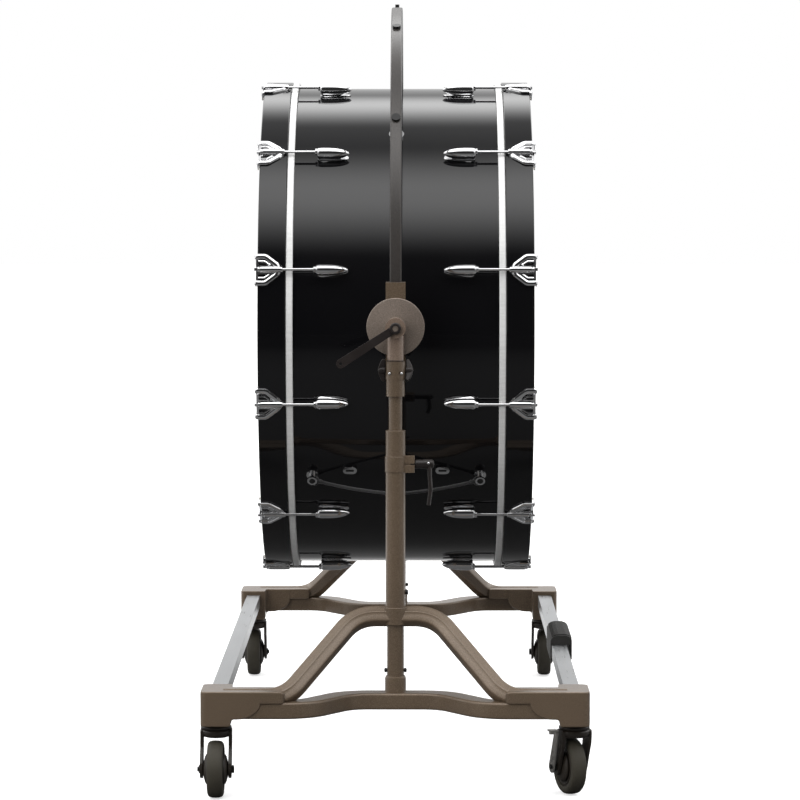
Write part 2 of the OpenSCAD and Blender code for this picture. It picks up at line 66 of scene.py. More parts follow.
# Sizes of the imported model, in millimetres
DRUM_Z = middle("shell", Z)
TILT_Z = middle("ring", Z)
SHELL_R, SHELL_X, SHELL_WALL = half_size("shell", Z), half_size("shell", X), 8.0
HOOP_R, HOOP_OUT = half_size("counterhoops", Z), half_size("counterhoops", X)
HOOP_IN = SHELL_X - 3.2
ROD_R = 473.0
LUGS = 12
RING_R, RING_T, RING_W = half_size("ring", Z), 20.0, 2 * half_size("ring", X)
MAST_Y = -middle("near_inner_tube", Y)
HALF_W, HALF_L = half_size("near_casting", X), -span("near_casting", Y)[0]
BLOCK_FOOT, BLOCK_TOP = span("near_casting", Z)[0], 190.0
ARCH_FOOT_Y, ARCH_FOOT_Z, ARCH_Z = HALF_L - 25, 173.5, 305.5
LOW_Y, LOW_Z = HALF_L - 25, 155.5
STEM_X, STEM_Y, TRAIL, WHEEL_R = 313.5, 703.0, 20.0, 50.0
WING_Z, LEVER_Z = 742.0, 576.0
DISC_BACK = MAST_Y - 24
LEVER_Y = -span("tilt_lever", Y)[1]
# Where the cords are held: angles above the horizontal on the near side
HOOK_ANGLE, BOLT_ANGLES, LOW_BOLT_ANGLE = 53, (39, 67), -35
POST_X, POST_ANGLE, POST_TOP_R = 154, -34, 478
STUD_X, STUD_ANGLE = 85, -32.5
ENDS = (("near", 1), ("far", -1))
CASTERS = (("near_left", -1, -1, 0), ("near_right", 1, -1, 200),
           ("far_left", -1, 1, 180), ("far_right", 1, 1, 180))
# Wing bolts: the side of the mast, the angle that the wings stand at, and the end
WINGS = (("near_left", -1, 8, 1), ("near_right", 1, -25, 1),
         ("far_left", -1, -12, -1), ("far_right", 1, 18, -1))


# ---------- camera ----------

def make_camera():
    """A long lens that looks at the near end, a little from above."""
    distance, height, aside = 6.6825, 1.1113, 0.035
    tilt_down, turn_left = math.radians(3.98), math.radians(0.2554)
    data = bpy.data.cameras.new("camera")
    data.sensor_width = 36
    data.lens = 155.0
    data.clip_start, data.clip_end = 0.1, 200
    camera = bpy.data.objects.new("camera", data)
    bpy.context.scene.collection.objects.link(camera)
    camera.location = (aside, -distance, height)
    camera.rotation_euler = (math.pi / 2 - tilt_down, 0, turn_left)
    bpy.context.scene.camera = camera


# ---------- shapes, in millimetres ----------

class Shape:
    """Points and faces that are put together before they become a mesh."""

    def __init__(self, points=(), faces=()):
        self.points = [Vector(p) for p in points]
        self.faces = [tuple(f) for f in faces]

    def add(self, other, matrix=Matrix.Identity(4)):
        first = len(self.points)
        self.points += [matrix @ p for p in other.points]
        self.faces += [tuple(i + first for i in f) for f in other.faces]
        return self

    def each(self, change):
        self.points = [Vector(change(p)) for p in self.points]
        return self


def move(x=0.0, y=0.0, z=0.0):
    return Matrix.Translation((x, y, z))


def turn(degrees, axis):
    return Matrix.Rotation(math.radians(degrees), 4, axis)


def mirror(axis):
    """Swaps the two sides of the plane across that axis."""
    return Matrix.Scale(-1, 4, (axis == "X", axis == "Y", axis == "Z"))


STILL = Matrix.Identity(4)
ALONG_X = turn(90, "Y")       # turns +Z into +X
ALONG_NEAR = turn(90, "X")    # turns +Z into -Y


def at_end(end):
    """Leaves the near end's shapes as they are, and mirrors them for the far end."""
    return STILL if end > 0 else mirror("Y")


def outward(side):
    """Turns +Z into +X on the right and into -X on the left."""
    return ALONG_X if side > 0 else turn(-90, "Y")


def at_drum(angle=90):
    """Turns +Z into the outward direction at that angle above the horizontal, on the near side."""
    return move(z=DRUM_Z) @ turn(90 - angle, "X")


def at_ring(angle=90):
    """The same round the tilt axis, for the ring."""
    return move(z=TILT_Z) @ turn(90 - angle, "X")


def soften(outline, radius, steps=4, closed=True):
    """The outline with its corners rounded."""
    n, out = len(outline), []
    radii = radius if isinstance(radius, (list, tuple)) else [radius] * n
    for i, point in enumerate(outline):
        b = Vector(point)
        if not closed and i in (0, n - 1) or radii[i] <= 0:
            out.append(b)
            continue
        to_a = Vector(outline[i - 1]) - b
        to_c = Vector(outline[(i + 1) % n]) - b
        half = to_a.angle(to_c) / 2
        cut = min(radii[i] / math.tan(half), 0.48 * to_a.length, 0.48 * to_c.length)
        p, q = b + to_a.normalized() * cut, b + to_c.normalized() * cut
        out += [p * (1 - t) ** 2 + b * 2 * t * (1 - t) + q * t ** 2
                for t in (k / steps for k in range(steps + 1))]
    return out


def lathe(profile, steps=64, closed=False):
    """Turns (radius, height) points about Z. An open profile is capped at its ends."""
    n = len(profile)
    points, faces = [], []
    for i in range(steps):
        a = 2 * math.pi * i / steps
        points += [(r * math.cos(a), r * math.sin(a), h) for r, h in profile]
        j = (i + 1) % steps
        faces += [(i * n + k, j * n + k, j * n + (k + 1) % n, i * n + (k + 1) % n)
                  for k in range(n if closed else n - 1)]
    if not closed:
        faces += [tuple(i * n + k for i in range(steps))
                  for k in (0, n - 1) if profile[k][0] > 0.01]
    return Shape(points, faces)


def rod(radius, z0, z1, round_off=0.6, steps=48):
    """A cylinder with rounded rims."""
    c = round_off
    return lathe([(radius - c, z0), (radius - 0.3 * c, z0 + 0.3 * c), (radius, z0 + c),
                  (radius, z1 - c), (radius - 0.3 * c, z1 - 0.3 * c), (radius - c, z1)], steps)


def prism(outline, z0, z1):
    """An outline given a thickness along Z."""
    n = len(outline)
    return Shape([(p[0], p[1], z) for z in (z0, z1) for p in outline],
                 [tuple(range(n)), tuple(range(n, 2 * n))]
                 + [(i, (i + 1) % n, n + (i + 1) % n, n + i) for i in range(n)])


def flat(outlines, z0, z1):
    """A plate whose outer line comes first and whose holes follow."""
    bm = bmesh.new()
    for line in outlines:
        corners = [bm.verts.new((p[0], p[1], z0)) for p in line]
        for a, b in zip(corners, corners[1:] + corners[:1]):
            bm.edges.new((a, b))
    bmesh.ops.triangle_fill(bm, use_beauty=True, edges=bm.edges[:])
    grown = bmesh.ops.extrude_face_region(bm, geom=bm.faces[:])
    for item in grown["geom"]:
        if isinstance(item, bmesh.types.BMVert):
            item.co.z = z1
    bm.verts.index_update()
    made = Shape([v.co for v in bm.verts], [[v.index for v in f.verts] for f in bm.faces])
    bm.free()
    return made


def sweep(frames, section, closed=False):
    """Carries a closed section along frames, each an origin and two directions."""
    n, m = len(section), len(frames)
    points = [o + u * s[0] + v * s[1] for o, u, v in frames for s in section]
    faces = [(i * n + k, i * n + (k + 1) % n,
              (i + 1) % m * n + (k + 1) % n, (i + 1) % m * n + k)
             for i in range(m if closed else m - 1) for k in range(n)]
    if not closed:
        faces += [tuple(range(n)), tuple(range((m - 1) * n, m * n))]
    return Shape(points, faces)


def loft(sections):
    """Joins outlines that have the same number of points, and caps both ends."""
    n, m = len(sections[0]), len(sections)
    return Shape([p for section in sections for p in section],
                 [(i * n + k, i * n + (k + 1) % n, (i + 1) * n + (k + 1) % n, (i + 1) * n + k)
                  for i in range(m - 1) for k in range(n)]
                 + [tuple(range(n)), tuple(range((m - 1) * n, m * n))])


def frames_along(path, up):
    """Frames whose first direction lies beside the path and whose second is nearest to up."""
    path = [Vector(p) for p in path]
    found = []
    for i, p in enumerate(path):
        ahead = (path[min(i + 1, len(path) - 1)] - path[max(i - 1, 0)]).normalized()
        side = ahead.cross(Vector(up)).normalized()
        found.append((p, side, side.cross(ahead)))
    return found


def circle(radius, steps=12, flatten=1.0):
    """Points of a circle, or of an ellipse when flattened."""
    return [(radius * math.cos(2 * math.pi * k / steps),
             flatten * radius * math.sin(2 * math.pi * k / steps)) for k in range(steps)]


def torus(ring_radius, radius, steps=32):
    """A round ring of round section about Z."""
    return lathe([(ring_radius + x, y) for x, y in circle(radius, 12)], steps, closed=True)


def two_rounds(c1, r1, c2, r2, steps=12):
    """Outline of two round ends of different size joined by straight sides."""
    c1, c2 = Vector(c1), Vector(c2)
    d = c2 - c1
    direction = math.atan2(d.y, d.x)
    opening = math.acos((r1 - r2) / d.length)

    def arc(centre, radius, start, sweep_angle):
        return [centre + radius * Vector((math.cos(start + sweep_angle * k / steps),
                                          math.sin(start + sweep_angle * k / steps)))
                for k in range(steps + 1)]
    return (arc(c1, r1, direction + opening, 2 * math.pi - 2 * opening)
            + arc(c2, r2, direction - opening, 2 * opening))


def even_normals(obj):
    """Lets large faces decide the shading at softened edges."""
    normals = obj.modifiers.new("even_normals", "WEIGHTED_NORMAL")
    normals.keep_sharp = False


def piece(name, shape, look, body, stands_for=(), bevel=0.0, steps=2, limit=30):
    """Makes a mesh of the shape, which rides on that body and stands for the CAD nodes."""
    material, slot = look
    bm = bmesh.new()
    points = [bm.verts.new(p * MM) for p in shape.points]
    for face in shape.faces:
        bm.faces.new([points[i] for i in face])
    bmesh.ops.remove_doubles(bm, verts=bm.verts[:], dist=2e-6)
    bmesh.ops.recalc_face_normals(bm, faces=bm.faces[:])
    if bevel:
        sharp = [e for e in bm.edges if e.is_manifold
                 and e.calc_face_angle(0) > math.radians(limit)]
        bmesh.ops.bevel(bm, geom=sharp, offset=bevel * MM, segments=steps, profile=0.5,
                        affect="EDGES", clamp_overlap=True)
    for face in bm.faces:
        face.smooth = True
    mesh = bpy.data.meshes.new(name)
    bm.to_mesh(mesh)
    bm.free()
    mesh.materials.append(material)
    obj = bpy.data.objects.new(name, mesh)
    bpy.context.scene.collection.objects.link(obj)
    even_normals(obj)
    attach(obj, body)
    if stands_for:
        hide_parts(*([stands_for] if isinstance(stands_for, str) else stands_for))
    return obj


def dress(look, *names, bevel=0.6):
    """Gives CAD nodes their material and softly rounded edges."""
    material, slot = look
    for name in names:
        obj = NODES[name]
        mesh = obj.data
        if "custom_normal" in mesh.attributes:
            mesh.attributes.remove(mesh.attributes["custom_normal"])
        for face in mesh.polygons:
            face.use_smooth = True
        weld = obj.modifiers.new("weld", "WELD")
        weld.merge_threshold = 2e-6
        if bevel:
            rounding = obj.modifiers.new("rounding", "BEVEL")
            rounding.limit_method = "ANGLE"
            rounding.angle_limit = math.radians(32)
            rounding.width = bevel * MM
            rounding.segments = 2
        even_normals(obj)
        if not mesh.materials:
            mesh.materials.append(material)
        for index in range(len(mesh.materials)):
            mesh.materials[index] = material


# ---------- materials ----------

def new_node(tree, kind, inputs=(), **settings):
    """Adds a node and sets or links its inputs."""
    made = tree.nodes.new(kind)
    for key, value in settings.items():
        setattr(made, key, value)
    for socket, value in dict(inputs).items():
        if isinstance(value, bpy.types.NodeSocket):
            tree.links.new(value, made.inputs[socket])
        else:
            made.inputs[socket].default_value = value
    return made


def colour_ramp(tree, value, stops):
    """Turns a value into a colour, by (place, colour) stops."""
    ramp = new_node(tree, "ShaderNodeValToRGB", {"Fac": value})
    band = ramp.color_ramp
    while len(band.elements) < len(stops):
        band.elements.new(0.5)
    for element, (where, colour) in zip(band.elements, stops):
        element.position = where
        element.color = (*colour, 1)
    return ramp.outputs["Color"]


class Paint:
    """A Principled material and the nodes that vary it over the surface."""

    def __init__(self, name, **flat_values):
        self.material = bpy.data.materials.new(name)
        self.material.use_nodes = True
        self.tree = self.material.node_tree
        self.shader = self.tree.nodes["Principled BSDF"]
        for socket, value in flat_values.items():
            self.shader.inputs[socket.replace("_", " ")].default_value = value
        self.place = self.node("ShaderNodeTexCoord").outputs["Object"]

    def node(self, kind, inputs=(), **settings):
        return new_node(self.tree, kind, inputs, **settings)

    def stretched(self, scale):
        return self.node("ShaderNodeMapping", {"Vector": self.place, "Scale": scale}).outputs[0]

    def noise(self, scale, detail=3.0, roughness=0.55, stretch=None):
        where = self.stretched(stretch) if stretch else self.place
        return self.node("ShaderNodeTexNoise", {"Vector": where, "Scale": scale,
                         "Detail": detail, "Roughness": roughness}).outputs["Fac"]

    def cells(self, scale, stretch=None):
        where = self.stretched(stretch) if stretch else self.place
        return self.node("ShaderNodeTexVoronoi", {"Vector": where, "Scale": scale},
                         feature="SMOOTH_F1").outputs["Distance"]

    def span(self, value, low, high, start=0.3, end=0.7):
        return self.node("ShaderNodeMapRange", {"Value": value, "From Min": start,
                         "From Max": end, "To Min": low, "To Max": high}).outputs["Result"]

    def blend(self, a, b, share):
        return self.node("ShaderNodeMath", {0: self.times(a, 1 - share), 1: self.times(b, share)},
                         operation="ADD").outputs[0]

    def times(self, value, factor):
        return self.node("ShaderNodeMath", {0: value, 1: factor}, operation="MULTIPLY").outputs[0]

    def colours(self, value, *stops):
        self.set("Base Color", colour_ramp(self.tree, value, stops))

    def set(self, socket, value):
        self.tree.links.new(value, self.shader.inputs[socket])

    def bump(self, height, distance, strength=1.0):
        made = self.node("ShaderNodeBump", {"Height": height, "Distance": distance,
                         "Strength": strength})
        if self.shader.inputs["Normal"].links:
            self.tree.links.new(self.shader.inputs["Normal"].links[0].from_socket,
                                made.inputs["Normal"])
        self.set("Normal", made.outputs["Normal"])


def shade(r, g, b):
    """An sRGB colour, 0 to 255, as linear values."""
    return tuple(((c / 255 + 0.055) / 1.055) ** 2.4 if c > 10 else c / 255 / 12.92
                 for c in (r, g, b))


def scaled(colour, factor):
    return tuple(c * factor for c in colour)


def hammered(name, slot, colour, contrast=0.35, metallic=0.3, coat=0.6):
    """Powder coat with a fine metallic speckle over shallow hammer marks."""
    paint = Paint(name, Metallic=metallic, Coat_Weight=coat, Coat_Roughness=0.25)
    grain, drift = paint.noise(620, 3, 0.6), paint.noise(5, 2)
    value = paint.blend(grain, drift, 0.25)
    paint.colours(value, (0.3, scaled(colour, 1 - contrast)), (0.5, colour),
                  (0.72, scaled(colour, 1 + contrast * 1.6)))
    paint.set("Roughness", paint.span(grain, 0.5, 0.36))
    paint.bump(paint.cells(330), 0.00025, 0.35)
    paint.bump(grain, 0.00008, 0.5)
    return paint.material, slot


def metal(name, slot, colour, rough, stretch=(1, 1, 1), scale=300, bump=0.00002, metallic=1.0):
    """Bare or plated metal with fine marks along one direction."""
    paint = Paint(name, Metallic=metallic)
    marks, drift = paint.noise(scale, 4, 0.6, stretch), paint.noise(14, 3)
    paint.colours(paint.blend(marks, drift, 0.4), (0.3, scaled(colour, 0.86)),
                  (0.55, colour), (0.8, scaled(colour, 1.06)))
    paint.set("Roughness", paint.span(paint.blend(marks, drift, 0.35), rough * 0.75, rough * 1.3))
    paint.bump(marks, bump, 0.5)
    return paint.material, slot


def lacquer(name):
    """Deep black gloss over wood, with the faint unevenness of sprayed lacquer."""
    paint = Paint(name, Coat_Weight=0.0, IOR=1.5)
    drift = paint.noise(3.5, 2)
    paint.colours(drift, (0.3, (0.0035, 0.0035, 0.0042)), (0.7, (0.0055, 0.0053, 0.006)))
    paint.set("Roughness", paint.span(paint.noise(40, 4), 0.035, 0.07))
    paint.bump(paint.noise(55, 2), 0.00004, 0.25)
    return paint.material, "black_lacquer"


def dark(name, slot, colour, rough, scale=900, metallic=0.0, bump=0.0001):
    """Painted steel, plastic or rubber with a fine grain."""
    paint = Paint(name, Metallic=metallic)
    grain, drift = paint.noise(scale, 4, 0.65), paint.noise(22, 3)
    paint.colours(paint.blend(grain, drift, 0.5), (0.3, scaled(colour, 0.7)), (0.52, colour),
                  (0.75, scaled(colour, 1.5)))
    paint.set("Roughness", paint.span(paint.blend(grain, drift, 0.5), rough * 0.85, rough * 1.15))
    paint.bump(grain, bump, 0.5)
    return paint.material, slot


def braided(name):
    """Tightly woven dark cord."""
    paint = Paint(name, Sheen_Weight=0.3, Sheen_Roughness=0.5)
    weave = paint.cells(900, (1, 1, 0.6))
    paint.colours(weave, (0.1, (0.035, 0.034, 0.034)), (0.6, (0.010, 0.010, 0.011)))
    paint.set("Roughness", paint.span(weave, 0.6, 0.85, 0, 1))
    paint.bump(weave, 0.0006, 0.7)
    return paint.material, "cord"


def coated_film(name):
    """A drum head's pale film with a mottled, slightly rough coating."""
    paint = Paint(name, Subsurface_Weight=0.05)
    mottle, tooth = paint.noise(9, 5, 0.6), paint.noise(1500, 2)
    paint.colours(mottle, (0.3, shade(226, 220, 205)), (0.55, shade(238, 234, 222)),
                  (0.75, shade(244, 241, 232)))
    paint.set("Roughness", paint.span(tooth, 0.42, 0.58))
    paint.bump(tooth, 0.00005, 0.5)
    return paint.material, "drum_head"


BRONZE = hammered("bronze_paint", "bronze_paint", (0.150, 0.108, 0.072))
# A lighter copy of the bronze paint for the tilt housings: painted light, which makes up for the
# shade that the lever and disc cast on them.
STUB_PAINTED_LIGHT = hammered("stub_painted_light", "bronze_paint", (0.26, 0.19, 0.145))
# A lighter, more metallic copy of the bronze paint for the tilt discs: the extra metal is their
# turned finish, and the lighter colour is painted light.
DISC_BRONZE_LIT = hammered("disc_paint_lit", "bronze_paint", (0.30, 0.245, 0.205), 0.3, 0.6, 0.4)
# A much darker copy of the bronze paint for the swivel ring: painted shade, standing in for the
# shade that the ring lies in.
RING_BRONZE_SHADED = hammered("ring_paint_shaded", "bronze_paint", (0.040, 0.035, 0.032), 0.4, 0.3, 0.45)
CASTER = hammered("caster_paint", "caster_steel", (0.022, 0.017, 0.013), 0.3, 0.2, 0.25)
BLACK = dark("black_steel", "black_steel", (0.018, 0.018, 0.018), 0.36, metallic=0.4)
HANDLE = dark("dark_handle", "dark_handle", (0.018, 0.014, 0.013), 0.42, 700)
TYRE = dark("tyre_rubber", "tyre_rubber", (0.046, 0.041, 0.030), 0.7, 500, bump=0.0002)
HUB = dark("hub_plastic", "hub_plastic", (0.026, 0.021, 0.016), 0.5)
ZINC = metal("bright_steel", "bright_steel", (0.55, 0.53, 0.50), 0.3, scale=120)
BAR = metal("silver_bar", "silver_bar", (0.46, 0.47, 0.48), 0.32, (1, 0.02, 1), 500)
SILVER = metal("silver_hoop", "silver_hoop", (0.90, 0.90, 0.89), 0.42, (0.2, 1, 1), 260,
               metallic=0.15)
REST = dark("rest_rubber", "rest_rubber", (0.030, 0.029, 0.027), 0.6, 600, bump=0.0002)
CORD = braided("braided_cord")
LACQUER = lacquer("black_lacquer")
HEAD = coated_film("coated_film")
CHROME = metal("chrome", "chrome", (0.92, 0.92, 0.93), 0.12, scale=40, bump=0.000004)


# ---------- drum ----------

def both_sides(shape, make):
    """Adds a shape and its mirror image to another."""
    for matrix in (STILL, mirror("X")):
        shape.add(make, matrix)


def build_drum():
    """Shell, heads, flesh hoops and counterhoops, all turned about the drum's axis."""
    on_axis = at_drum() @ ALONG_X

    def turned(name, profile, look, node, sides=True, closed=True, steps=256):
        shape = Shape()
        ring = Shape().add(lathe(profile, steps, closed), on_axis)
        if sides:
            both_sides(shape, ring)
        else:
            shape.add(ring)
        piece(name, shape, look, "drum", node)

    inner = SHELL_R - SHELL_WALL
    turned("drum_shell", [(SHELL_R, -200.5), (SHELL_R - 0.6, -202.2), (452, -SHELL_X),
                          (inner, -201), (inner, 201), (452, SHELL_X),
                          (SHELL_R - 0.6, 202.2), (SHELL_R, 200.5)], LACQUER, "shell", False)
    turned("drum_heads", [(0, 204.2), (150, 204.2), (300, 204.2), (430, 204.2), (452, 204.1),
                          (456.4, 203.5), (458, 201.8), (458.4, 198), (458.4, 190),
                          (458.1, 190), (458.1, 198), (457.7, 201.5), (456, 203.2),
                          (452, 203.8), (430, 203.9), (300, 203.9), (150, 203.9), (0, 203.9)],
           HEAD, "heads", closed=False)
    turned("flesh_hoops_turned",
           soften([(458.8, 187), (467, 187), (467, 199.5), (458.8, 199.5)], 2.4),
           SILVER, "flesh_hoops")
    turned("counterhoops_turned",
           soften([(459.5, HOOP_IN), (HOOP_R, HOOP_IN), (HOOP_R, HOOP_OUT),
                   (463.5, HOOP_OUT), (459.5, HOOP_OUT - 4)], 2.2), LACQUER, "counterhoops")


def lug_shape():
    """A bullet lying on the shell, blunt at the rod and pointed at its inner end."""
    profile = [(0, 86), (2.2, 87.5), (4.4, 91), (6.6, 97), (8.4, 105), (9.5, 114), (10, 124),
               (10, 137), (9.7, 141.5), (9, 144), (7.4, 145.2), (6.2, 145.4), (6.2, 148.6),
               (5.6, 149.2), (0, 149.2)]
    body = Shape().add(lathe(profile, 40), ALONG_X)
    middle, half = 468.7, 11.3

    def settle(p):
        collar = p.x > 145.3
        z = ROD_R + p.z if collar else middle + p.z * half / 10
        return (p.x, p.y, max(z, SHELL_R + 0.3))
    body.each(settle)
    foot = two_rounds((134, 0), 10.8, (92, 0), 4.2)
    body.add(prism(foot, SHELL_R + 0.3, SHELL_R + 1.8))
    return body


def claw_shape():
    """A shield with a raised rim, a sleeve for the rod and two slots, hooked over the hoop."""
    top = HOOP_R + 0.3
    outline = soften([(253, -29), (235, -29), (213, -13), (206.5, -5), (206.5, 5), (213, 13),
                      (235, 29), (253, 29)], [1, 9, 6, 5, 5, 6, 9, 1], 5)
    slots = [soften([(226, s * 8.6), (233, s * 19.5), (249, s * 19.5), (249, s * 8.6)],
                    2.2, 3) for s in (1, -1)]
    claw = flat([outline, *slots], top, top + 2.4)
    rim = soften([(250.5, -25, top + 2.2), (236.5, -25, top + 2.2), (217, -10, top + 2.2),
                  (212.5, 0, top + 2.2), (217, 10, top + 2.2), (236.5, 25, top + 2.2),
                  (250.5, 25, top + 2.2)], 9, 6, closed=False)
    claw.add(sweep(frames_along(rim, (0, 0, 1)), [(5.0 * x, 3.4 * y) for x, y in circle(1, 12)]))
    inner_rim = soften([(249, -15.5, top + 2), (238, -15.5, top + 2), (228, -8.5, top + 2)],
                       5, 4, closed=False)
    for s in (1, -1):
        claw.add(sweep(frames_along([(x, s * y, z) for x, y, z in inner_rim], (0, 0, 1)),
                       circle(2.2, 8)))
        hook = soften([(248, s * 24.5, top + 2), (254, s * 24.5, top + 1.6),
                       (254.4, s * 24.5, top - 4), (254, s * 24.5, top - 13)], 4, 4,
                      closed=False)
        claw.add(sweep(frames_along(hook, (0, 1, 0)), [(2.6 * x, 5.0 * y)
                                                       for x, y in circle(1, 14)]))
    lobes = soften([(-29, 0), (29, 0), (29, -9), (25, -14), (17, -14), (12, -8), (-12, -8),
                    (-17, -14), (-25, -14), (-29, -9)], 4, 4)
    claw.add(prism([(y, z) for y, z in lobes], 0, 2.2),
             Matrix(((0, 0, 1, HOOP_OUT + 0.3), (1, 0, 0, 0), (0, 1, 0, top + 2), (0, 0, 0, 1))))
    sleeve = lathe([(3.2, 205), (4.6, 205.4), (5.4, 206.6), (5.7, 209), (6, 216), (6, 244),
                    (5.6, 245.6), (4.6, 246), (3.2, 246)], 28)
    claw.add(Shape().add(sleeve, ALONG_X), move(z=ROD_R))
    claw.each(lambda p: (p.x, p.y, p.z - p.y * p.y / (2 * HOOP_R)))
    return claw


def rod_shape():
    """A tension rod with a collar and a square head."""
    shape = Shape().add(rod(2.8, 140, 247, 0.4, 20), ALONG_X)
    shape.add(rod(4.9, 246.5, 250.2, 0.8, 28), ALONG_X)
    square = prism(soften([(-3, -3), (3, -3), (3, 3), (-3, 3)], 0.7, 2), 250, 256.5)
    return Shape().add(shape.add(square, ALONG_X), move(z=ROD_R))


def build_fittings():
    """Lugs, claws and tension rods, round both edges of the drum."""
    made = {name: Shape() for name in ("drum_lugs", "drum_claws", "drum_rods")}
    parts = {"drum_lugs": lug_shape(), "drum_claws": claw_shape(), "drum_rods": rod_shape()}
    for i in range(LUGS):
        place = at_drum(180 / LUGS + i * 360 / LUGS)
        for side in (STILL, mirror("X")):
            for name, part in parts.items():
                made[name].add(part, place @ side)
    piece("drum_lugs", made["drum_lugs"], CHROME, "drum", "lugs")
    piece("drum_claws", made["drum_claws"], CHROME, "drum", "claws", bevel=0.7)
    piece("drum_rods", made["drum_rods"], CHROME, "drum", "tension_rods", bevel=0.2, limit=50)


# ---------- ring and suspension ----------

def ring_point(angle, radius):
    """A point in the ring's plane, by angle and distance from the tilt axis."""
    return at_ring(angle) @ Vector((0, 0, radius))


def drum_point(x, angle, radius):
    """A point by its place along the drum, angle and distance from its axis."""
    return at_drum(angle) @ Vector((x, 0, radius))


def build_ring():
    """The ring with its softened edges, and the conical disc at each end."""
    half = RING_W / 2
    section = soften([(RING_R - RING_T, -half), (RING_R, -half), (RING_R, half),
                      (RING_R - RING_T, half)], 3.4, 3)
    ring = Shape().add(lathe(section, 288, closed=True), at_ring() @ ALONG_X)
    # The ring takes the darker copy of the bronze paint: painted shade.
    piece("swivel_ring", ring, RING_BRONZE_SHADED, "drum", "ring")
    for end, s in ENDS:
        disc = lathe(soften([(6, 0), (51.5, 0), (51.5, 3.2), (18, 9), (6, 9)],
                            [0, 1.2, 1.6, 1, 0], 3), 96, closed=True)
        disc.add(rod(5.8, -20, 58, 0.8, 32))
        placed = Shape().add(Shape().add(disc, at_end(s)), move(y=-s * DISC_BACK, z=TILT_Z)
                             @ (ALONG_NEAR if s > 0 else turn(-90, "X")))
        # The tilt discs take the lighter copy of the bronze paint, which is partly painted light.
        piece(f"{end}_tilt_plate", placed, DISC_BRONZE_LIT, "drum", f"{end}_tilt_disc")


def cord_between(p, q, sag=3.0, steps=16):
    """A short cord that sags a little, with a knot and a loop at each end."""
    p, q = Vector(p), Vector(q)
    path = [p.lerp(q, k / steps) - Vector((0, 0, sag * math.sin(math.pi * k / steps)))
            for k in range(steps + 1)]
    cord = sweep(frames_along(path, (0.1, 0.3, 1)), circle(3.0, 14))
    along = (q - p).normalized()
    for end, direction in ((p, -along), (q, along)):
        knot = lathe([(2.8, -6), (4.1, -4), (4.3, 0), (4.1, 4), (2.8, 6)], 16)
        cord.add(knot, Matrix.Translation(end - direction * 5)
                 @ direction.to_track_quat("Z", "X").to_matrix().to_4x4())
        loop = torus(6.4, 2.4, 24)
        cord.add(loop, Matrix.Translation(end + direction * 4.5)
                 @ direction.to_track_quat("X", "Y").to_matrix().to_4x4())
    return cord


def build_suspension():
    """The cords that hold the drum inside the ring."""
    cords = Shape()
    eye_r = RING_R - RING_T - 12
    for s in (1, -1):
        half = Shape()
        low = ring_point(LOW_BOLT_ANGLE, eye_r - 14)
        for x in (1, -1):
            half.add(cord_between(drum_point(x * (POST_X - 9), POST_ANGLE - 0.9, POST_TOP_R - 9),
                                  low + Vector((x * 4, 0, 0))))
        hook = drum_point(0, HOOK_ANGLE, POST_TOP_R + 11)
        for angle in BOLT_ANGLES:
            half.add(cord_between(ring_point(angle, eye_r - 14), hook))
        cords.add(half, at_end(s))
    piece("suspension_loops", cords, CORD, "drum", "suspension_cords")


# ---------- stand ----------

def arch_frames():
    """Frames along the arch on the near side: across its band, and through its faces."""
    foot, top = Vector((0, -ARCH_FOOT_Y, ARCH_FOOT_Z)), Vector((0, -MAST_Y, ARCH_Z))
    rise = (top - foot).length
    up = (top - foot).normalized()
    line = soften([(-300, 0), (-192, 0), (-70, rise), (70, rise), (192, 0), (300, 0)],
                  [0, 70, 70, 70, 70, 0], 12, closed=False)
    line = [foot + up * p.y + Vector((p.x, 0, 0)) for p in line]
    front = Vector((1, 0, 0)).cross(up)      # faces the near side and up
    frames = []
    for i, p in enumerate(line):
        ahead = (line[min(i + 1, len(line) - 1)] - line[max(i - 1, 0)]).normalized()
        frames.append((p, front.cross(ahead), front))
    return frames


def casting_shape():
    """One end of the base: corner blocks, bowed lower bar and arch in a single casting."""
    casting = Shape()
    # the arch, with a rounded ridge along the middle of both faces
    half = [(-16.5, 0), (-16.5, 8.4), (-15.4, 10.4), (-13.6, 11.4), (-7, 13), (-2.6, 13.7),
            (-1.6, 14.8), (0, 15.3), (1.6, 14.8), (2.6, 13.7), (7, 13), (13.6, 11.4),
            (15.4, 10.4), (16.5, 8.4)]
    section = half + [(16.5, 0)] + [(a, -b) for a, b in reversed(half[1:])]
    casting.add(sweep(arch_frames(), section))
    # the lower bar, bowed in to the mast
    plan = soften([(-300, -LOW_Y, LOW_Z), (-160, -LOW_Y, LOW_Z), (-85, -MAST_Y, LOW_Z),
                   (85, -MAST_Y, LOW_Z), (160, -LOW_Y, LOW_Z), (300, -LOW_Y, LOW_Z)],
                  [0, 75, 75, 75, 75, 0], 14, closed=False)
    bar = soften([(-22, -14.5), (22, -14.5), (22, 14.5), (-22, 14.5)], 5, 4)
    casting.add(sweep(frames_along(plan, (0, 0, 1)), bar))
    corner = corner_shape()
    casting.add(corner)
    casting.add(corner, mirror("X"))
    # sleeve that the mast's tube stands in
    casting.add(lathe(soften([(17.7, 291), (20.5, 291), (20.5, 322), (17.7, 322)],
                             [0, 1.5, 2.5, 1], 3), 64, closed=True), move(y=-MAST_Y))
    return casting


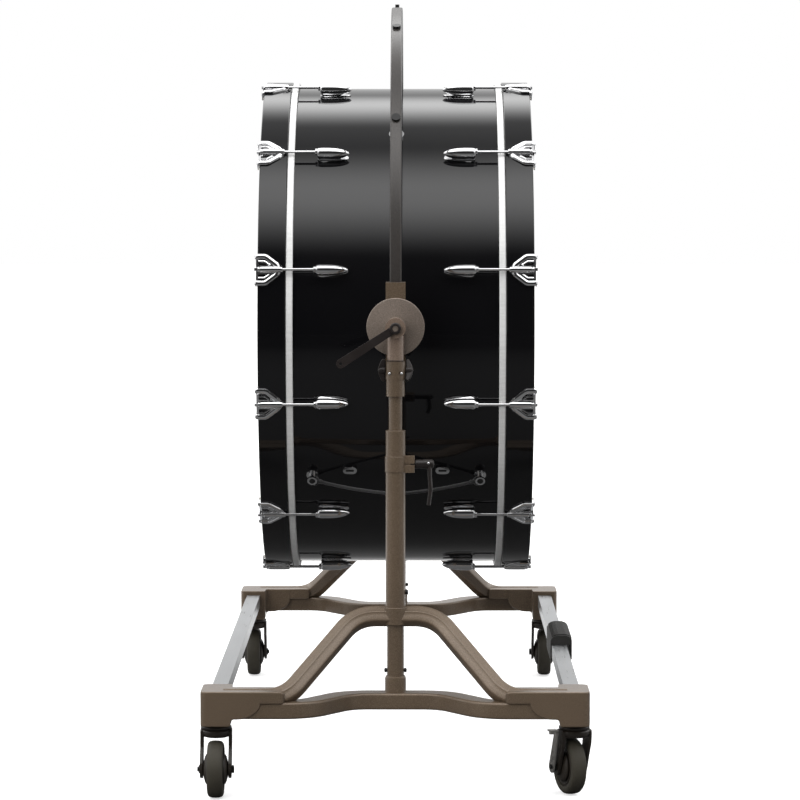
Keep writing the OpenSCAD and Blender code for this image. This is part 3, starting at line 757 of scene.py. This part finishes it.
def corner_shape():
    """Corner block and the web beside it, whose lower edge curves up to the arch's foot."""
    inner, outer, rounding = HALF_W - 52, HALF_W, 11
    face, top, foot = -HALF_L, BLOCK_TOP, BLOCK_FOOT

    def section(x, front, back, low, high):
        line = soften([(front, low), (front, high), (back, high), (back, low)], 3.2, 4)
        return [Vector((x, p.x, p.y)) for p in line]

    sections = [section(192, face + 9, -700, 172, 183), section(195, face + 2, -694, 169, 188),
                section(200, face, -692, 168, top), section(235, face, -691, 168, top)]
    for k in range(1, 10):
        t = math.pi * k / 18
        sections.append(section(235 + 41 * (1 - math.cos(t)), face, -690,
                                168 - 27 * math.sin(t), top))
    sections += [section(inner - 6, face, -690, foot + 13, top),
                 section(inner - 1, face, -688, foot + 11, top),
                 section(inner, face, -657, foot + 2, top),
                 section(inner + 3, face, -655, foot, top),
                 section(outer - rounding, face, -655, foot, top)]
    for k in range(1, 7):
        t = math.pi * k / 12
        back_off = rounding * (1 - math.cos(t)) * 0.96
        lift = max(0.0, back_off - 7) * 0.8
        sections.append(section(outer - rounding + rounding * math.sin(t),
                                face + back_off, -655 - back_off, foot + lift, top - lift))
    return loft(sections)


def build_base():
    """Both end castings, and the CAD's bars, posts, tubes and bearings."""
    casting = casting_shape()
    for end, s in ENDS:
        placed = Shape().add(casting, at_end(s))
        piece(f"{end}_end_casting", placed, BRONZE, "stand", f"{end}_casting", bevel=1.6,
              steps=3, limit=40)
    dress(BAR, "side_bars", bevel=1.2)
    dress(BLACK, "bar_bolts", "cross_bolts")
    dress(BRONZE, "mast_posts", "outer_tubes", "post_sockets", bevel=0.8)
    dress(CASTER, "caster_bearings", bevel=1.0)


def build_foot_rest():
    """A rubber saddle on the right bar, with rounded ribs across its crown."""
    x0, x1 = 295.0, 337.5
    outline = soften([(x0, 150), (x0, 190), (x0 + 5, 196.5), (x0 + 15, 200), (x1 - 12, 200),
                      (x1 - 3, 196), (x1, 189), (x1, 152), (x1 - 3.6, 150), (x1 - 3.6, 181.2),
                      (x0 + 2.8, 181.2), (x0 + 2.8, 150)],
                     [1, 3, 3, 3, 4, 4, 3, 1, 1, 1, 1, 1], 4)
    half, axis_x, axis_z, ribs, pitch = 98, 316, 175, 25, 7.6
    frames = []
    for k in range(ribs):
        y = -half + 2 * half * k / (ribs - 1)
        crown = 1 - abs(y / half) ** 6 * 0.035
        frames.append((Vector((axis_x, y, axis_z)), Vector((crown, 0, 0)), Vector((0, 0, crown))))
    shape = sweep(frames, [(x - axis_x, z - axis_z) for x, z in outline])
    for k in range(ribs):
        y = -91.2 + k * pitch
        rib = soften([(x0 + 3.6, y, 194.6), (x0 + 9, y, 198.8), (x0 + 16, y, 200.4),
                      (x1 - 13, y, 200.4), (x1 - 5, y, 197.4), (x1 - 1.6, y, 192)],
                     4, 3, closed=False)
        shape.add(sweep(frames_along(rib, (0, 1, 0)), [(1.3 * a, 1.7 * b)
                                                       for a, b in circle(1, 8)]))
    piece("foot_rest_ribbed", shape, REST, "stand", "foot_rest", bevel=0.5, limit=50)


def build_clamps():
    """The block on the side of each outer tube that the height lever tightens."""
    shape = Shape()
    for s in (1, -1):
        clamp = lathe(soften([(17.6, 562), (18.7, 562), (18.7, 590), (17.6, 590)], 0.5, 2),
                      64, closed=True)
        block = soften([(14, -9), (30, -8), (34, -6.5), (34, 6.5), (30, 8), (14, 9)], 2, 3)
        for z0, z1 in ((561, 575), (577, 591)):
            clamp.add(prism(block, z0, z1))
        clamp.add(prism([(14, -7), (27, -6), (27, 6), (14, 7)], 574, 578))
        shape.add(clamp, move(y=-s * MAST_Y))
    piece("clamp_blocks", shape, BRONZE, "stand", "height_clamps", bevel=1.2)


def caster_matrix(side, end, angle):
    """Places a caster, with its swivel's axis on Z, at its corner."""
    return move(side * STEM_X, end * STEM_Y) @ turn(angle, "Z")


def fork_shape():
    """Two arms under a round crown, with the stem that it swivels on."""
    arm = prism(soften([(-15.5, 118.4), (-15, 104), (-17, 88), (-34, 62), (-37, 50), (-32, 39),
                        (-20, 33.5), (-8, 39), (-3, 50), (4, 70), (13, 92), (15, 104),
                        (15.5, 118.4)], 6, 3), 0, 5.2)
    fork = Shape()
    for s in (1, -1):
        fork.add(arm, Matrix(((0, 0, s, s * 22.2), (1, 0, 0, 0), (0, 1, 0, 0), (0, 0, 0, 1))))
    fork.add(lathe(soften([(0, 104), (19, 104), (25, 106), (27.2, 111), (27.2, 116),
                           (24, 118.4), (0, 118.4)], [0, 2, 3, 3, 3, 2, 0], 3), 64))
    fork.add(rod(6, 114, 150, 0.8, 24))
    return fork


def tread_shape():
    """A tyre with a crowned tread and small side walls."""
    half = [(36, -11), (36.5, -13), (38, -13.6), (43, -14), (46, -13), (48.4, -10.5),
            (49.6, -6), (WHEEL_R, 0)]
    return lathe(half + [(r, -h) for r, h in reversed(half[:-1])], 96, closed=True)


def rim_shape():
    """The wheel inside the tyre, with a round cover and five studs on each side."""
    rim = lathe([(4.2, -11), (35.4, -11), (36, -10), (36, 10), (35.4, 11), (4.2, 11)],
                96, closed=True)
    cover = [(4.2, 12), (25, 12), (26.8, 13), (27.2, 14.6), (26, 16.6), (22, 18.8),
             (15, 20.8), (11, 21.6), (4.2, 22)]
    for s in (1, -1):
        rim.add(lathe([(r, s * h) for r, h in cover], 64, closed=True))
        rim.add(torus(31.5, 1.1, 64), move(z=s * 11.2))
        for k in range(5):
            rim.add(rod(1.8, 11, 12.4, 0.4, 12), turn(72 * k, "Z")
                    @ move(31.5) @ (STILL if s > 0 else turn(180, "X")))
    return rim


def build_casters():
    """Four casters; the brake's plate and the axles keep their CAD shapes."""
    fork, tread, rim = fork_shape(), tread_shape(), rim_shape()
    for name, side, end, angle in CASTERS:
        place = caster_matrix(side, end, angle)
        at_axle = place @ move(y=-TRAIL, z=WHEEL_R) @ ALONG_X
        piece(f"{name}_yoke", Shape().add(fork, place), CASTER, f"{name}_caster",
              f"{name}_fork", bevel=1.0)
        dress(BLACK, f"{name}_axle", bevel=0.5)
        piece(f"{name}_tread", Shape().add(tread, at_axle), TYRE, f"{name}_wheel",
              f"{name}_tyre")
        piece(f"{name}_rim", Shape().add(rim, at_axle), HUB, f"{name}_wheel", f"{name}_hub")
    dress(ZINC, "near_right_brake", bevel=0.8)


# ---------- masts ----------

def build_masts():
    """Finishes of the sliding masts, with the collars' screws and seals."""
    dress(BRONZE, "near_inner_tube", "far_inner_tube", bevel=0.6)
    dress(BRONZE, "near_collar", "far_collar", bevel=0.9)
    # The tilt housings take the lighter copy of the bronze paint: painted light.
    dress(STUB_PAINTED_LIGHT, "near_tilt_housing", "far_tilt_housing", bevel=2.0)
    dress(BRONZE, "ring_brackets", bevel=2.0)
    for end, s in ENDS:
        at_mast = at_end(s) @ move(y=-MAST_Y)
        screws = Shape()
        for x in (1, -1):
            screws.add(lathe([(0, 0), (2.6, 0), (2.6, 1), (2.2, 1.9), (1.2, 2.5), (0, 2.7)], 20),
                       move(x * 10.2, -14.6, 737) @ ALONG_NEAR @ turn(x * 35, "Y"))
        piece(f"{end}_collar_screws", Shape().add(screws, at_mast), CHROME,
              f"{end}_mast")
        seam = Shape().add(torus(14.9, 0.7, 64), at_mast @ move(z=759.2))
        piece(f"{end}_collar_seal", seam, BLACK, f"{end}_mast")


def wing_shape(side, tip):
    """A moulded wing knob on its thumb screw."""
    outline = soften([(-2, -3.6), (-3.2, -11), (-3.4, -18.5), (0.6, -21.4), (4.2, -17), (8, -8),
                      (10, 0), (8, 8), (4.2, 17), (0.6, 21.4), (-3.4, 18.5), (-3.2, 11),
                      (-2, 3.6)], 3.5, 4)
    wing = prism([(side * x, y) for x, y in outline], -2.9, 2.9)
    knob = Shape().add(wing, turn(tip + 90, "X"))
    knob.add(lathe([(3, -4.6), (5.2, -4.2), (6, -2.4), (6.2, 2), (5.4, 6), (3.4, 9), (0, 10.2)],
                   32), outward(side))
    knob = Shape().add(knob, move(side * 21.5))
    knob.add(rod(3, 11, 20, 0.4, 20), outward(side))
    return Shape().add(knob, move(y=-MAST_Y, z=WING_Z))


def build_wings():
    for name, side, tip, end in WINGS:
        wing = Shape().add(wing_shape(side, tip), at_end(end))
        piece(f"{name}_wing", wing, HANDLE, f"{name}_wing_bolt", f"{name}_wing_bolt",
              bevel=1.6, steps=3, limit=50)


def height_lever_shape():
    """A round hub on a screw, with a flattened handle that hangs from it."""
    lever = Shape().add(rod(4, 22, 40, 0.5, 24), ALONG_X)
    lever.add(lathe([(0, 35), (6.6, 35), (8, 36.2), (8, 48), (8.6, 50), (8.6, 57), (7.8, 59),
                     (0, 59)], 40), ALONG_X)
    path = soften([(60, 0, 0), (60.5, 0, -20), (62, 0, -45), (58.5, 0, -73)], 30, 8,
                  closed=False)
    frames = []
    for k, (o, u, v) in enumerate(frames_along(path, (0, 1, 0))):
        share = k / (len(path) - 1)
        frames.append((o, u * (1 - 0.12 * share), v * (1 - 0.35 * share)))
    lever.add(sweep(frames, [(4.2 * x, 8.6 * y) for x, y in circle(1, 16)]))
    lever.add(lathe([(8.6, -4), (8.6, 4), (6.4, 7.4), (0, 8.6)], 32), move(60) @ ALONG_X)
    return lever


def build_height_levers():
    for end, s in ENDS:
        at_mast = at_end(s) @ move(y=-MAST_Y, z=LEVER_Z)
        lever = Shape().add(height_lever_shape(), at_mast)
        piece(f"{end}_height_handle", lever, HANDLE, f"{end}_height_lever",
              f"{end}_height_lever", bevel=0.8, limit=50)
        pin = lathe([(0, 0), (2.4, 0), (2.4, 1), (1.4, 1.8), (0, 2)], 20)
        pin = Shape().add(pin, at_mast @ move(58, -8.2, 2) @ ALONG_NEAR)
        piece(f"{end}_height_pin", pin, CHROME, f"{end}_height_lever")


def build_tilt_lever():
    """A flat tapering bar with a hub that has a socket."""
    tip = (-96, -62)
    arm = two_rounds((0, 0), 6.6, tip, 8.2, 16)
    hole = [Vector(tip) + Vector(p) for p in circle(2.6, 16)]
    bar = flat([arm, hole], 3.5, 8.8)
    hub = lathe([(6.3, 0), (9.4, 0), (10, 0.8), (10, 10.6), (9.2, 12.4), (7.6, 13), (5.4, 13),
                 (5.0, 12), (5.0, 9), (6.3, 9)], 48, closed=True)
    shape = Shape().add(bar.add(hub), move(y=-LEVER_Y, z=TILT_Z) @ ALONG_NEAR)
    piece("tilt_handle", shape, HANDLE, "tilt_lever", "tilt_lever", bevel=0.9, limit=40)


# ---------- small fittings ----------

def build_small():
    """Fasteners that are kept from the CAD, and the dark screws in the posts and studs."""
    post = lathe([(0, 0), (5.6, 0), (5.6, 0.5), (4.6, 1.3), (2.2, 1.8), (0, 1.9)], 24)
    slot = prism(soften([(-7.6, -2), (7.6, -2), (7.6, 2), (-7.6, 2)], 2, 3), 0, 0.7)
    screws = Shape()
    for s in (1, -1):
        for x in (1, -1):
            screws.add(post, at_end(s) @ at_drum(POST_ANGLE) @ move(x * POST_X, 0, POST_TOP_R))
            screws.add(slot, at_end(s) @ at_drum(STUD_ANGLE) @ move(x * STUD_X, 0, SHELL_R + 5.4))
    piece("post_screws", screws, BLACK, "drum")
    dress(BLACK, "ring_bolts", "ring_peg", "backing_plates", bevel=0.8)
    dress(CHROME, "shell_hooks", "suspension_posts", "guide_studs", bevel=0.8)


# ---------- light ----------

# The studio's light goes by height angle round the X axis: 0 is the near horizon, 90 is
# overhead and 180 is the far horizon. The room's own light grows from dim to bright between
# two angles. A soft box begins to show at its first angle, is full from the second to the
# third, and ends at the fourth.
ROOM_ANGLES, ROOM_LEVELS = (20, 150), (0.02, 0.75)
SOFT_BOXES = ((34, 66, 70, 99, 2.68),      # in front of the drum and above it
              (112, 133, 134, 153, 3.0))   # behind it
SIDE_LEVELS = (0.95, 0.75)                 # at the left and at the right
SEEN_LEVEL = 1.0                           # the backdrop as the camera sees it


def build_world():
    """A white backdrop, and soft light that goes by angle."""
    world = bpy.data.worlds.new("studio")
    bpy.context.scene.world = world
    world.use_nodes = True
    tree = world.node_tree
    tree.nodes.clear()

    def maths(operation, a, b=0.0):
        return new_node(tree, "ShaderNodeMath", {0: a, 1: b}, operation=operation).outputs[0]

    def smooth(value, ends, levels=(0, 1)):
        return new_node(tree, "ShaderNodeMapRange", {
            "Value": value, "From Min": ends[0], "From Max": ends[1],
            "To Min": levels[0], "To Max": levels[1]}, interpolation_type="SMOOTHSTEP").outputs[0]

    place = new_node(tree, "ShaderNodeTexCoord").outputs["Generated"]
    axes = new_node(tree, "ShaderNodeSeparateXYZ", {0: place}).outputs
    turned = maths("ARCTAN2", axes["Z"], maths("MULTIPLY", axes["Y"], -1.0))
    angle = maths("DEGREES", turned)
    arc = smooth(maths("ABSOLUTE", angle), ROOM_ANGLES, ROOM_LEVELS)
    for start, full, fade, end, level in SOFT_BOXES:
        rise, fall = smooth(angle, (start, full)), smooth(angle, (fade, end), (level, 0))
        arc = maths("ADD", arc, maths("MULTIPLY", rise, fall))
    side_share = smooth(maths("ABSOLUTE", axes["X"]), (0.55, 0.95))
    side_level = new_node(tree, "ShaderNodeMapRange", {
        "Value": axes["X"], "From Min": -1.0, "From Max": 1.0,
        "To Min": SIDE_LEVELS[0], "To Max": SIDE_LEVELS[1]}).outputs[0]
    light = new_node(tree, "ShaderNodeMix", {0: side_share, 2: arc, 3: side_level},
                     data_type="FLOAT").outputs[0]
    seen = new_node(tree, "ShaderNodeLightPath").outputs["Is Camera Ray"]
    level = new_node(tree, "ShaderNodeMix", {0: seen, 2: light, 3: SEEN_LEVEL},
                     data_type="FLOAT").outputs[0]
    background = new_node(tree, "ShaderNodeBackground", {"Color": (1, 1, 1, 1),
                                                         "Strength": level})
    new_node(tree, "ShaderNodeOutputWorld", {"Surface": background.outputs[0]})


def build_fill():
    """A large soft light from the front left, which lifts matt surfaces and stays out of gloss."""
    data = bpy.data.lights.new("front_fill", "AREA")
    data.shape = "RECTANGLE"
    data.size, data.size_y = 3.4, 2.6
    data.energy = 165
    light = bpy.data.objects.new("front_fill", data)
    bpy.context.scene.collection.objects.link(light)
    light.location = (-2.2, -6.0, 2.4)
    aim = Vector((0, 0, 0.75)) - light.location
    light.rotation_euler = aim.to_track_quat("-Z", "Y").to_euler()
    light.visible_camera = False
    light.visible_glossy = False


# How pale the floor is to every ray but the camera's own, by distance along Y in metres: painted
# shade, dark in front of the drum and under it, pale behind it
FLOOR_SHADE_TONES = ((-6.0, 0.02), (-2.5, 0.09), (0.1, 0.11), (0.7, 0.34), (1.5, 0.85))
FLOOR_RAMP = (-6.0, 2.0)
SEEN_FLOOR, SEEN_LIFT = 0.8, 0.55


def build_floor():
    """A pale floor, which isn't part of the object."""
    bpy.ops.mesh.primitive_plane_add(size=60, location=(0, 0, -0.0004))
    floor = bpy.context.object
    floor.name = "studio_floor"
    material = bpy.data.materials.new("studio_floor")
    material.use_nodes = True
    tree = material.node_tree
    tree.nodes.clear()
    start, end = FLOOR_RAMP
    shown = new_node(tree, "ShaderNodeAddShader", {
        0: new_node(tree, "ShaderNodeBsdfDiffuse", {"Color": (*[SEEN_FLOOR] * 3, 1)}).outputs[0],
        1: new_node(tree, "ShaderNodeEmission", {"Strength": SEEN_LIFT}).outputs[0]})
    place = new_node(tree, "ShaderNodeTexCoord").outputs["Object"]
    along = new_node(tree, "ShaderNodeSeparateXYZ", {0: place}).outputs["Y"]
    share = new_node(tree, "ShaderNodeMapRange", {"Value": along, "From Min": start,
                                                  "From Max": end}).outputs[0]
    # The floor that other rays see takes these tones as painted shade.
    stops = [((y - start) / (end - start), (tone,) * 3) for y, tone in FLOOR_SHADE_TONES]
    bounce = new_node(tree, "ShaderNodeBsdfDiffuse",
                      {"Color": colour_ramp(tree, share, stops)}).outputs[0]
    seen = new_node(tree, "ShaderNodeLightPath").outputs["Is Camera Ray"]
    pick = new_node(tree, "ShaderNodeMixShader", {0: seen, 1: bounce, 2: shown.outputs[0]})
    new_node(tree, "ShaderNodeOutputMaterial", {"Surface": pick.outputs[0]})
    floor.data.materials.append(material)


make_camera()
build_drum()
build_fittings()
build_ring()
build_suspension()
build_base()
build_foot_rest()
build_clamps()
build_casters()
build_masts()
build_wings()
build_height_levers()
build_tilt_lever()
build_small()
build_world()
build_fill()
build_floor()

scene = bpy.context.scene
scene.view_settings.view_transform = "Standard"
scene.view_settings.look = "None"
